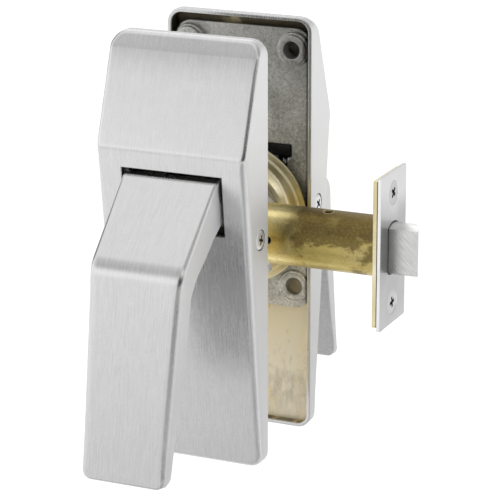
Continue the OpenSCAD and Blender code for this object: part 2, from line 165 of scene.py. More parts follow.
def tube_along(path, r, n=12):
    """Round wire along a path, with caps."""
    verts, faces = [], []
    m = len(path)
    P = [Vector(p) for p in path]
    up = Vector((1, 0, 0))
    prev = None
    for i, p in enumerate(P):
        t = (P[min(i + 1, m - 1)] - P[max(i - 1, 0)]).normalized()
        a = (up - t * up.dot(t)) if prev is None else (prev - t * prev.dot(t))
        if a.length < 1e-6:
            a = t.orthogonal()
        a.normalize()
        prev = a
        b = t.cross(a)
        for k in range(n):
            c = 2 * math.pi * k / n
            verts.append(tuple(p + (a * math.cos(c) + b * math.sin(c)) * r))
    for i in range(m - 1):
        for k in range(n):
            l = (k + 1) % n
            faces.append((i * n + k, (i + 1) * n + k, (i + 1) * n + l, i * n + l))
    faces.append(tuple(range(n)))
    faces.append(tuple((m - 1) * n + n - 1 - k for k in range(n)))
    return verts, faces


def prism(outline, place, h0, h1, edge=0.25):
    """An outline pulled between two heights, its edges broken. place maps (a, b, h) to the row frame."""
    n = len(outline)
    P = [Vector(p) for p in outline]
    area = sum(P[i - 1].cross(P[i]) for i in range(n))
    sgn = 1 if area > 0 else -1
    inn = []
    for i in range(n):
        e0, e1 = (P[i] - P[i - 1]).normalized(), (P[(i + 1) % n] - P[i]).normalized()
        nn = Vector((-(e0.y + e1.y), e0.x + e1.x)) * sgn
        nn = nn.normalized() if nn.length > 1e-6 else Vector((-e0.y, e0.x)) * sgn
        inn.append(P[i] + nn * edge / max(0.5, abs(nn.dot(Vector((-e0.y, e0.x))))))
    s = 1 if h1 > h0 else -1
    rings = [(inn, h0), (P, h0 + s * edge), (P, h1 - s * edge), (inn, h1)]
    verts, faces = [], []
    for ring, h in rings:
        verts += [place(p.x, p.y, h) for p in ring]
    for k in range(3):
        for i in range(n):
            j = (i + 1) % n
            faces.append((k * n + i, k * n + j, (k + 1) * n + j, (k + 1) * n + i))
    faces.append(tuple(range(n)))
    faces.append(tuple(3 * n + i for i in range(n)))
    return verts, faces


def merge(*parts):
    verts, faces = [], []
    for v, f in parts:
        k = len(verts)
        verts += v
        faces += [tuple(i + k for i in q) for q in f]
    return verts, faces


def local(side):
    """(x, distance from the door, z) of a trim to the row frame."""
    if side == "front":
        return lambda x, d, z: (x, -20.0 - d, z)
    return lambda x, d, z: (-x, 20.0 + d, z)


# ------------------------------------------------------------------ material helpers

class Mat:
    """Small helper round a node tree."""

    def __init__(self, name):
        self.m = bpy.data.materials.new(name)
        self.m.use_nodes = True
        self.t = self.m.node_tree
        self.t.nodes.clear()
        self.out = self.t.nodes.new("ShaderNodeOutputMaterial")
        self.b = self.t.nodes.new("ShaderNodeBsdfPrincipled")
        self.t.links.new(self.b.outputs[0], self.out.inputs[0])
        self.co = self.t.nodes.new("ShaderNodeTexCoord").outputs["Object"]
        self.geo = self.t.nodes.new("ShaderNodeNewGeometry")

    def node(self, kind, **kw):
        n = self.t.nodes.new(kind)
        for k, v in kw.items():
            setattr(n, k, v)
        return n

    def link(self, a, b):
        self.t.links.new(a, b)

    def mapped(self, scale, loc=(0, 0, 0), co=None):
        n = self.node("ShaderNodeMapping")
        n.inputs["Scale"].default_value = scale
        n.inputs["Location"].default_value = loc
        self.link(co or self.co, n.inputs["Vector"])
        return n.outputs[0]

    def noise(self, scale, detail=3.0, rough=0.55, co=None, loc=(0, 0, 0), distortion=0.0):
        sc = scale if isinstance(scale, tuple) else (scale,) * 3
        n = self.node("ShaderNodeTexNoise")
        n.inputs["Scale"].default_value = 1.0
        n.inputs["Detail"].default_value = detail
        n.inputs["Roughness"].default_value = rough
        n.inputs["Distortion"].default_value = distortion
        self.link(self.mapped(sc, loc, co), n.inputs["Vector"])
        return n.outputs[0]

    def ramp(self, fac, stops, interp="LINEAR"):
        n = self.node("ShaderNodeValToRGB")
        n.color_ramp.interpolation = interp
        e = n.color_ramp.elements
        while len(e) < len(stops):
            e.new(0.5)
        for el, (p, c) in zip(e, stops):
            el.position = p
            c = c if isinstance(c, tuple) else (c, c, c)
            el.color = (*c, 1.0)
        self.link(fac, n.inputs[0])
        return n.outputs[0]

    def span(self, v, a, b, c, d, clamp=True):
        n = self.node("ShaderNodeMapRange", clamp=clamp)
        for i, x in enumerate((a, b, c, d)):
            n.inputs[i + 1].default_value = x
        self.link(v, n.inputs[0])
        return n.outputs[0]

    def math(self, op, a, b=None, clamp=False):
        n = self.node("ShaderNodeMath", operation=op, use_clamp=clamp)
        for i, x in enumerate((a, b)):
            if x is None:
                continue
            if isinstance(x, (int, float)):
                n.inputs[i].default_value = x
            else:
                self.link(x, n.inputs[i])
        return n.outputs[0]

    def mix(self, fac, a, b, mode="MIX"):
        n = self.node("ShaderNodeMix", data_type="RGBA", blend_type=mode)
        if isinstance(fac, (int, float)):
            n.inputs[0].default_value = fac
        else:
            self.link(fac, n.inputs[0])
        for i, x in ((6, a), (7, b)):
            if isinstance(x, tuple):
                n.inputs[i].default_value = (*x, 1.0)
            else:
                self.link(x, n.inputs[i])
        return n.outputs[2]

    def mixf(self, fac, a, b):
        n = self.node("ShaderNodeMix", data_type="FLOAT")
        for i, x in ((0, fac), (2, a), (3, b)):
            if isinstance(x, (int, float)):
                n.inputs[i].default_value = x
            else:
                self.link(x, n.inputs[i])
        return n.outputs[0]

    def axis(self, v, i):
        n = self.node("ShaderNodeSeparateXYZ")
        self.link(v, n.inputs[0])
        return n.outputs[i]

    def edges(self, radius):
        """0 on flat faces, rising towards 1 on edges; also the rounded normal."""
        bv = self.node("ShaderNodeBevel", samples=4)
        bv.inputs["Radius"].default_value = radius
        d = self.node("ShaderNodeVectorMath", operation="DOT_PRODUCT")
        self.link(bv.outputs[0], d.inputs[0])
        self.link(self.geo.outputs["Normal"], d.inputs[1])
        return self.span(d.outputs["Value"], 0.995, 0.75, 0.0, 1.0), bv.outputs[0]

    def bump(self, height, strength, dist, normal=None):
        n = self.node("ShaderNodeBump")
        n.inputs["Strength"].default_value = strength
        n.inputs["Distance"].default_value = dist
        self.link(height, n.inputs["Height"])
        if normal is not None:
            self.link(normal, n.inputs["Normal"])
        return n.outputs[0]

    def set(self, **kw):
        for k, v in kw.items():
            s = self.b.inputs[k.replace("_", " ")]
            if isinstance(v, (int, float)):
                s.default_value = v
            elif isinstance(v, tuple):
                s.default_value = (*v, 1.0)
            else:
                self.link(v, s)
        return self.m


def brushed(k, along="Z", fine=1900.0, long=110.0):
    """Fine brushing that runs along one axis, on faces that look any way."""
    if along == "Z":
        a = k.noise((fine, long, long), 4.0, 0.62)
        b = k.noise((long, fine, long), 4.0, 0.62, loc=(3.1, 0.7, 1.9))
        nx = k.math("ABSOLUTE", k.axis(k.geo.outputs["Normal"], 0))
        return k.mixf(k.span(nx, 0.6, 0.8, 0.0, 1.0), a, b)
    if along == "X":
        return k.noise((long, fine, fine), 4.0, 0.62)
    return k.noise((fine, long, fine), 4.0, 0.62)


def satin(name, light=(0.69, 0.69, 0.69), dark=(0.565, 0.565, 0.565), rough=(0.22, 0.33), dark_inside=None, back=0.0, fine=1900.0, along="Z", edge=0.0, side_rough=0.26):
    k = Mat(name)
    br = brushed(k, along, fine)
    soft = k.noise(260.0, 3.0, 0.6, loc=(7, 1, 3))
    cloud = k.noise(34.0, 3.0, 0.5)
    streak = k.mixf(0.30, k.mixf(0.35, k.span(br, 0.25, 0.75, 0.0, 1.0), soft), cloud)
    col = k.ramp(streak, [(0.22, dark), (0.78, light)])
    rg = k.span(k.mixf(0.5, br, cloud), 0.3, 0.7, rough[0], rough[1])
    nrm = None
    if edge:
        edge_wear_and_highlight, nrm = k.edges(edge)
        col = k.mix(k.math("MULTIPLY", edge_wear_and_highlight, 0.6), col, (0.90, 0.90, 0.90))
    if back:
        # the hidden side of the blade is as cast: greyer and rougher
        ny = k.math("MULTIPLY", k.axis(k.geo.outputs["Normal"], 1), back)
        rear = k.span(ny, 0.25, 0.6, 0.0, 1.0)
        # painted shade: the whole paddle is darker towards its bottom
        col = k.mix(k.span(k.axis(k.co, 2), -0.074, -0.012, 0.20, 0.0), col, (0.36, 0.36, 0.36))
        col = k.mix(rear, col, k.ramp(k.noise(700.0, 4.0, 0.65), [(0.3, (0.45, 0.45, 0.45)), (0.7, (0.54, 0.54, 0.54))]))
        rg = k.mixf(rear, rg, 0.52)
    if dark_inside is not None:
        # the part that hides in the trim is left black from the foundry, and painted near-black as shade where it sits
        # in the pocket
        y = k.math("ABSOLUTE", k.axis(k.co, 1))
        blot = k.math("ADD", y, k.span(k.noise(420.0, 4.0, 0.6), 0.3, 0.7, -0.0006, 0.0006))
        mask = k.span(blot, dark_inside, dark_inside + 0.0012, 1.0, 0.0)
        col = k.mix(mask, col, k.ramp(k.noise(900.0, 3.0), [(0.3, (0.012, 0.012, 0.014)), (0.8, (0.05, 0.05, 0.054))]))
        rg = k.mixf(mask, rg, 0.62)
    # painted light: faces that look sideways are paler and less metallic, paler higher up and darker lower down
    side = k.span(k.math("ABSOLUTE", k.axis(k.geo.outputs["Normal"], 0)), 0.75, 0.95, 0.0, side_rough)
    b = k.bump(br, 0.045, 0.00006, nrm)
    body = k.span(side, 0.0, side_rough, 1.0, 0.35)
    side_light_by_height = k.span(k.axis(k.co, 2), -0.040, 0.040, 0.0, 1.0)
    painted_side_light = k.ramp(side_light_by_height, [(0.0, (0.60, 0.60, 0.60)), (0.5, (0.70, 0.70, 0.70)), (0.75, (0.82, 0.82, 0.82)), (1.0, (0.84, 0.84, 0.84))])
    col = k.mix(k.span(side, 0.0, side_rough, 0.0, 0.80), col, painted_side_light)
    return k.set(Base_Color=col, Metallic=body, Roughness=k.math("ADD", rg, side), Normal=b)


# ------------------------------------------------------------------ materials

M = {}
M["satin_chrome"] = satin("satin_chrome")
M["front_paddle"] = satin("satin_chrome_front_paddle", dark_inside=0.0352, back=1.0)
M["rear_paddle"] = satin("satin_chrome_rear_paddle", dark_inside=0.0352, back=-1.0)


def make_faceplate():
    """Brushed plate with painted reflection, darker in the middle and paler towards the top; painted highlight on its
    edges and on its side that faces -Y; painted shadow on its side that faces -X.
    """
    k = Mat("satin_chrome_faceplate")
    br = brushed(k, "Z", 1500.0)
    cloud = k.noise(60.0, 4.0, 0.55)
    z = k.axis(k.co, 2)
    zz = k.math("ADD", z, k.span(cloud, 0.3, 0.7, -0.006, 0.006))
    # painted reflection: the plate is darker in the middle and paler towards the top
    body = k.ramp(k.span(zz, -0.030, 0.030, 0.0, 1.0), [(0.0, (0.46, 0.46, 0.46)), (0.35, (0.36, 0.36, 0.36)), (0.62, (0.34, 0.34, 0.34)), (0.86, (0.62, 0.62, 0.62))])
    body = k.mix(k.span(br, 0.3, 0.7, 0.0, 0.22), body, (0.66, 0.66, 0.66))
    # painted highlight: the edges are paler
    edge_wear_and_highlight, nrm = k.edges(0.00035)
    body = k.mix(k.math("MULTIPLY", edge_wear_and_highlight, 0.8), body, (0.92, 0.92, 0.92))
    # painted highlight: the side that faces -Y is near-white
    body = k.mix(k.span(k.axis(k.geo.outputs["Normal"], 1), -0.8, -0.5, 0.9, 0.0), body, (0.97, 0.97, 0.97))
    # painted shadow: the side that faces -X is near-black, the gap against the backing plate
    body = k.mix(k.span(k.axis(k.geo.outputs["Normal"], 0), -0.8, -0.5, 0.95, 0.0), body, (0.03, 0.03, 0.028))
    rg = k.span(k.mixf(0.5, br, cloud), 0.3, 0.7, 0.26, 0.40)
    return k.set(Base_Color=body, Metallic=1.0, Roughness=rg, Normal=k.bump(br, 0.07, 0.00006, nrm))


def make_bolt():
    """Ground bolt with slanting scratches; painted reflection darkens its flat face next to the plate, painted
    highlight pales its top and edges.
    """
    k = Mat("bolt_chrome")
    turn = k.node("ShaderNodeMapping")
    turn.inputs["Rotation"].default_value = (0.0, math.radians(-42), 0.0)
    k.link(k.co, turn.inputs["Vector"])
    scratch = k.noise((160.0, 160.0, 2300.0), 5.0, 0.65, co=turn.outputs[0])
    cloud = k.noise(120.0, 4.0, 0.6, loc=(3, 3, 1))
    x = k.axis(k.co, 0)
    col = k.ramp(k.mixf(0.35, k.span(scratch, 0.25, 0.75, 0.0, 1.0), cloud), [(0.25, (0.54, 0.54, 0.535)), (0.75, (0.78, 0.78, 0.77))])
    # painted reflection: the flat face goes dark next to the plate
    plate_reflection_shade = k.span(k.math("ADD", x, k.span(cloud, 0.3, 0.7, -0.0012, 0.0012)), 0.0700, 0.0762, 0.62, 0.0)
    flat = k.span(k.axis(k.geo.outputs["Normal"], 1), -0.90, -0.55, 1.0, 0.15)
    col = k.mix(k.math("MULTIPLY", plate_reflection_shade, flat), col, (0.24, 0.24, 0.235))
    # painted highlight: faces that look up are paler
    col = k.mix(k.span(k.axis(k.geo.outputs["Normal"], 2), 0.35, 0.70, 0.0, 0.8), col, (0.96, 0.96, 0.95))
    # painted highlight: the edges are paler
    edge_wear_and_highlight, nrm = k.edges(0.0004)
    col = k.mix(k.math("MULTIPLY", edge_wear_and_highlight, 0.7), col, (0.88, 0.88, 0.87))
    rg = k.span(k.mixf(0.6, scratch, cloud), 0.3, 0.7, 0.24, 0.40)
    return k.set(Base_Color=col, Metallic=1.0, Roughness=rg, Normal=k.bump(scratch, 0.10, 0.0001, nrm))


def make_inside():
    """Inside of the trims: thin flash of chrome over warm, slightly golden plating with stains, and painted shade
    towards the top and on the side walls.
    """
    k = Mat("plated_inside")
    cloud = k.noise((36.0, 36.0, 20.0), 4.0, 0.55)
    fine = k.noise((500.0, 500.0, 90.0), 4.0, 0.65)
    z = k.axis(k.co, 2)
    col = k.ramp(cloud, [(0.25, (0.95, 0.83, 0.58)), (0.5, (1.0, 0.91, 0.70)), (0.75, (1.0, 0.96, 0.84))])
    # grey, streaky stains that gather towards the bottom
    rag = k.noise((420.0, 420.0, 190.0), 6.0, 0.72, loc=(5, 2, 8))
    low = k.span(k.math("ADD", rag, k.span(z, -0.046, -0.071, -0.30, 0.09)), 0.40, 0.68, 0.0, 0.60)
    low = k.math("MULTIPLY", low, k.span(z, -0.078, -0.071, 0.55, 1.0))
    col = k.mix(low, col, k.ramp(fine, [(0.3, (0.34, 0.31, 0.26)), (0.7, (0.62, 0.57, 0.46))]))
    speck = k.span(k.noise(300.0, 5.0, 0.7, loc=(1, 9, 4)), 0.61, 0.69, 0.0, 0.7)
    col = k.mix(speck, col, (0.85, 0.66, 0.22))
    # painted shade: dark brown towards the top, under the rim
    brown = k.span(z, 0.058, 0.068, 0.0, 1.0)
    col = k.mix(brown, col, k.ramp(k.noise((60.0, 60.0, 40.0), 3.0), [(0.35, (0.085, 0.07, 0.045)), (0.58, (0.15, 0.125, 0.08)), (0.70, (0.80, 0.68, 0.42))]))
    nx = k.math("ABSOLUTE", k.axis(k.geo.outputs["Normal"], 0))
    # painted shade: the side walls go near-black, less so towards the bottom
    wall = k.math("MULTIPLY", k.span(nx, 0.6, 0.85, 0.0, 1.0), k.span(z, -0.040, -0.034, 0.25, 0.92))
    col = k.mix(wall, col, k.ramp(fine, [(0.3, (0.022, 0.02, 0.016)), (0.7, (0.07, 0.062, 0.05))]))
    floor_up = k.math("MULTIPLY", k.span(k.axis(k.geo.outputs["Normal"], 2), 0.45, 0.75, 0.0, 0.9), k.span(z, -0.072, -0.070, 1.0, 0.0))
    col = k.mix(floor_up, col, k.ramp(k.noise(520.0, 4.0, 0.7, loc=(2, 2, 9)), [(0.42, (0.10, 0.08, 0.05)), (0.56, (0.26, 0.22, 0.15)), (0.64, (0.85, 0.62, 0.22))]))
    rg = k.span(fine, 0.3, 0.7, 0.38, 0.54)
    return k.set(Base_Color=col, Metallic=0.42, Roughness=rg, Normal=k.bump(fine, 0.12, 0.0002))


def make_zinc():
    """Bare die-cast zinc: mottled, pitted, paler on edges, with painted shade along its outer sides."""
    k = Mat("cast_zinc")
    big = k.noise(70.0, 5.0, 0.62)
    small = k.noise(760.0, 4.0, 0.8, loc=(2, 7, 1))
    pit = k.span(k.noise(1150.0, 2.0, 0.6, loc=(9, 4, 4)), 0.58, 0.68, 0.0, 1.0)
    base = k.ramp(k.mixf(0.55, big, small), [(0.36, (0.36, 0.36, 0.345)), (0.5, (0.66, 0.66, 0.63)), (0.64, (0.95, 0.94, 0.90))])
    base = k.mix(k.math("MULTIPLY", pit, 0.60), base, (0.17, 0.165, 0.15))
    vein = k.math("ABSOLUTE", k.math("SUBTRACT", k.noise(240.0, 3.0, 0.7, loc=(4, 0, 6), distortion=0.6), 0.5))
    base = k.mix(k.span(vein, 0.0, 0.022, 0.40, 0.0), base, (0.20, 0.195, 0.18))
    edge_wear_and_highlight, nrm = k.edges(0.0006)
    base = k.mix(k.math("MULTIPLY", edge_wear_and_highlight, k.span(small, 0.35, 0.6, 0.25, 0.9)), base, (0.88, 0.865, 0.82))
    base = k.mix(k.span(k.axis(k.co, 2), 0.040, 0.066, 0.0, 0.42), base, (0.22, 0.22, 0.21))
    # painted shade: near-black along the outer sides, next to the trim's wall
    base = k.mix(k.span(k.math("ABSOLUTE", k.axis(k.co, 0)), 0.0254, 0.0262, 0.0, 0.80), base, (0.06, 0.056, 0.05))
    rg = k.span(small, 0.3, 0.7, 0.38, 0.58)
    h = k.math("SUBTRACT", k.mixf(0.6, big, small), pit)
    return k.set(Base_Color=base, Metallic=0.85, Roughness=rg, Normal=k.bump(h, 0.30, 0.0003, nrm))


def make_yellow():
    """Yellow-passivated, turned steel, with painted shade on the faces that look towards the faceplate."""
    k = Mat("yellow_zinc")
    cloud = k.noise(60.0, 4.0, 0.55)
    fine = k.noise(1100.0, 3.0, 0.6)
    col = k.ramp(cloud, [(0.28, (0.66, 0.57, 0.31)), (0.5, (0.80, 0.71, 0.45)), (0.74, (0.92, 0.86, 0.66))])
    stain = k.span(k.noise(200.0, 4.0, 0.7, loc=(1, 1, 6)), 0.62, 0.72, 0.0, 0.25)
    col = k.mix(stain, col, (0.52, 0.38, 0.12))
    edge_wear_and_highlight, nrm = k.edges(0.0003)
    # painted shade: faces towards the faceplate are near-black
    faceplate_gap_shade = k.math("MULTIPLY", k.span(k.axis(k.geo.outputs["Normal"], 0), 0.5, 0.8, 0.0, 1.0), k.span(k.axis(k.co, 0), 0.060, 0.062, 0.0, 1.0))
    col = k.mix(k.math("MULTIPLY", edge_wear_and_highlight, 0.7), col, (0.95, 0.88, 0.72))
    col = k.mix(faceplate_gap_shade, col, (0.014, 0.012, 0.009))
    rg = k.span(fine, 0.3, 0.7, 0.26, 0.36)
    return k.set(Base_Color=col, Metallic=1.0, Roughness=rg, Normal=k.bump(fine, 0.05, 0.00006, nrm))


def make_brass():
    """Bare brass tube with brown, speckled tarnish, painted shade on its top and in its dent, and painted light next
    to the trim and on the dent's lip.
    """
    k = Mat("patina_brass")
    x, z = k.axis(k.co, 0), k.axis(k.co, 2)
    wash = k.noise((45.0, 60.0, 60.0), 5.0, 0.6)
    col = k.ramp(wash, [(0.3, (0.38, 0.295, 0.085)), (0.5, (0.56, 0.45, 0.15)), (0.72, (0.74, 0.61, 0.27))])
    # painted shade: darker, browner towards the top, paler below
    painted_top_shade = k.span(k.math("ADD", z, k.span(wash, 0.3, 0.7, -0.004, 0.004)), -0.003, 0.010, 0.0, 0.74)
    col = k.mix(painted_top_shade, col, (0.13, 0.098, 0.034))
    # tarnish: blotches with ragged edges past the trims
    blot = k.noise((85.0, 110.0, 110.0), 8.0, 0.68, loc=(0.4, 2.2, 0.9), distortion=0.25)
    reach = k.math("ADD", blot, k.math("ADD", k.span(z, -0.010, 0.010, -0.12, 0.09), k.span(x, 0.0290, 0.0385, -0.24, 0.05)))
    tarn = k.span(reach, 0.47, 0.545, 0.0, 1.0)
    speck = k.noise(1000.0, 4.0, 0.72)
    brown = k.ramp(speck, [(0.3, (0.07, 0.047, 0.015)), (0.52, (0.165, 0.115, 0.037)), (0.75, (0.34, 0.25, 0.09))])
    col = k.mix(k.math("MULTIPLY", tarn, 0.74), col, brown)
    dots = k.span(k.noise(560.0, 5.0, 0.72, loc=(6, 3, 3)), 0.60, 0.67, 0.0, 0.6)
    col = k.mix(dots, col, (0.12, 0.085, 0.035))
    # painted light: paler next to the trim
    near = k.span(k.math("ADD", x, k.span(wash, 0.3, 0.7, -0.003, 0.003)), 0.0275, 0.0355, 0.85, 0.0)
    col = k.mix(near, col, (1.0, 0.85, 0.42))
    edge_wear_and_highlight, nrm = k.edges(0.0005)
    col = k.mix(k.math("MULTIPLY", edge_wear_and_highlight, 0.5), col, (0.80, 0.70, 0.42))
    # painted shade: near-black in the punched dent; painted highlight: a pale ring on its lip
    dent = k.node("ShaderNodeVectorMath", operation="DISTANCE")
    k.link(k.co, dent.inputs[0])
    dent.inputs[1].default_value = (0.0452, -0.00116, 0.01104)
    far = dent.outputs["Value"]
    col = k.mix(k.math("MULTIPLY", k.span(far, 0.0015, 0.0018, 0.0, 1.0), k.span(far, 0.0020, 0.0023, 0.40, 0.0)), col, (0.88, 0.76, 0.50))
    col = k.mix(k.span(far, 0.0012, 0.0016, 0.95, 0.0), col, (0.02, 0.015, 0.008))
    rg = k.mixf(tarn, k.span(speck, 0.3, 0.7, 0.24, 0.36), k.span(speck, 0.3, 0.7, 0.36, 0.54))
    h = k.mixf(0.5, blot, speck)
    return k.set(Base_Color=col, Metallic=1.0, Roughness=rg, Normal=k.bump(h, 0.14, 0.0002, nrm))


def plain_metal(name, light, dark, rough, metallic=1.0, grain=700.0, edge=0.0003, wear_col=(0.8, 0.8, 0.8), wear_amt=0.5, bump=0.12, spots=None):
    k = Mat(name)
    fine = k.noise(grain, 4.0, 0.6)
    cloud = k.noise(grain * 0.12, 3.0, 0.5, loc=(4, 4, 2))
    col = k.ramp(k.mixf(0.5, fine, cloud), [(0.3, dark), (0.7, light)])
    if spots:
        s = k.span(k.noise(grain * 0.7, 4.0, 0.7, loc=(8, 1, 5)), 0.62, 0.68, 0.0, 0.7)
        col = k.mix(s, col, spots)
    edge_wear_and_highlight, nrm = k.edges(edge)
    col = k.mix(k.math("MULTIPLY", edge_wear_and_highlight, wear_amt), col, wear_col)
    rg = k.span(fine, 0.3, 0.7, rough[0], rough[1])
    return k.set(Base_Color=col, Metallic=metallic, Roughness=rg, Normal=k.bump(fine, bump, 0.00015, nrm))


M["inside"] = make_inside()
M["cast_zinc"] = make_zinc()
M["yellow_zinc"] = make_yellow()
M["patina_brass"] = make_brass()
M["black_steel"] = plain_metal("black_steel", (0.085, 0.085, 0.095), (0.03, 0.03, 0.034), (0.34, 0.52), metallic=0.6, wear_col=(0.32, 0.32, 0.33), wear_amt=0.6)
# pocket walls: near-black, painted shade in the pocket
M["pocket"] = plain_metal("pocket_wall", (0.07, 0.07, 0.07), (0.025, 0.025, 0.025), (0.45, 0.60), metallic=0.7, wear_col=(0.2, 0.2, 0.2), wear_amt=0.2)
M["oiled_steel"] = plain_metal("oiled_steel", (0.16, 0.155, 0.145), (0.07, 0.068, 0.062), (0.30, 0.46), grain=600.0, wear_col=(0.3, 0.3, 0.29), spots=(0.05, 0.045, 0.035))
M["screw_chrome"] = plain_metal("screw_chrome", (0.86, 0.86, 0.86), (0.70, 0.70, 0.70), (0.32, 0.44), metallic=0.6, grain=900.0, wear_col=(0.9, 0.9, 0.9))
M["face_screw"] = plain_metal("face_screw_chrome", (0.56, 0.56, 0.56), (0.42, 0.42, 0.42), (0.28, 0.40), grain=900.0, wear_col=(0.8, 0.8, 0.8))
M["spring_steel"] = plain_metal("spring_steel", (0.50, 0.50, 0.50), (0.28, 0.28, 0.29), (0.28, 0.42), grain=1300.0)
M["black_nylon"] = plain_metal("black_nylon", (0.035, 0.035, 0.036), (0.014, 0.014, 0.015), (0.46, 0.62), metallic=0.0, grain=1600.0, wear_col=(0.10, 0.10, 0.10), wear_amt=0.6, bump=0.2)
M["bright_steel"] = plain_metal("bright_steel", (0.66, 0.66, 0.65), (0.46, 0.46, 0.46), (0.26, 0.42), grain=600.0, spots=(0.36, 0.33, 0.26))
M["bolt_chrome"] = make_bolt()
M["faceplate"] = make_faceplate()
M["spring_dark"] = plain_metal("spring_steel_black", (0.10, 0.10, 0.105), (0.035, 0.035, 0.037), (0.30, 0.46), grain=1300.0, wear_col=(0.3, 0.3, 0.3))

for name, node in NODES.items():
    slots = node.data.materials
    for i, m in enumerate(slots):
        key = m.name.split(".")[0] if m else "bright_steel"
        slots[i] = M.get(key, M["bright_steel"])
NODES["faceplate"].data.materials[0] = M["faceplate"]
for n in ("latch_tail", "tail_pin", "push_rod", "cam_plate", "cam_rivets", "front_drive_pin", "rear_drive_pin"):
    NODES[n].data.materials[0] = M["oiled_steel"]


# ------------------------------------------------------------------ escutcheons

HW, ZT, ZB = 29.5, 77.0, -83.0
CREASE_Z, CREASE_D = 37.0, 20.0
UP, LOW = 13.0 / 37.2, 14.4 / 119.0
POCKET_X, POCKET_T, POCKET_B = 19.7, 30.0, 7.8


def top_bevel(z):
    u = max(0.0, z - 67.5) / 6
    return 1.62 * (u ** 3 - u ** 4 / 2) if u < 1 else 0.81 + 0.28 * (z - 73.5)


def front_height(z):
    """How far the front surface stands off the door at a height, with a soft crease."""
    soft = 1.1
    t = z - CREASE_Z
    if t > soft:
        return CREASE_D - t * UP - top_bevel(z)
    if t < -soft:
        return CREASE_D + t * LOW
    # a parabola that meets both slopes
    a = -(UP + LOW) / (4 * soft)
    b = (LOW - UP) / 2
    c = CREASE_D - (UP + LOW) * soft / 4
    return a * t * t + b * t + c


def lerp_table(table, z):
    if z >= table[0][0]:
        return table[0][1]
    for (z0, v0), (z1, v1) in zip(table, table[1:]):
        if z >= z1:
            return v1 + (v0 - v1) * (z - z1) / (z0 - z1)
    return table[-1][1]


FILLET = [(77, 1.3), (72, 1.5), (66, 1.8), (40, 1.8), (37, 2.2), (34, 2.6), (-70, 2.6), (-78, 2.0), (-83, 1.9)]


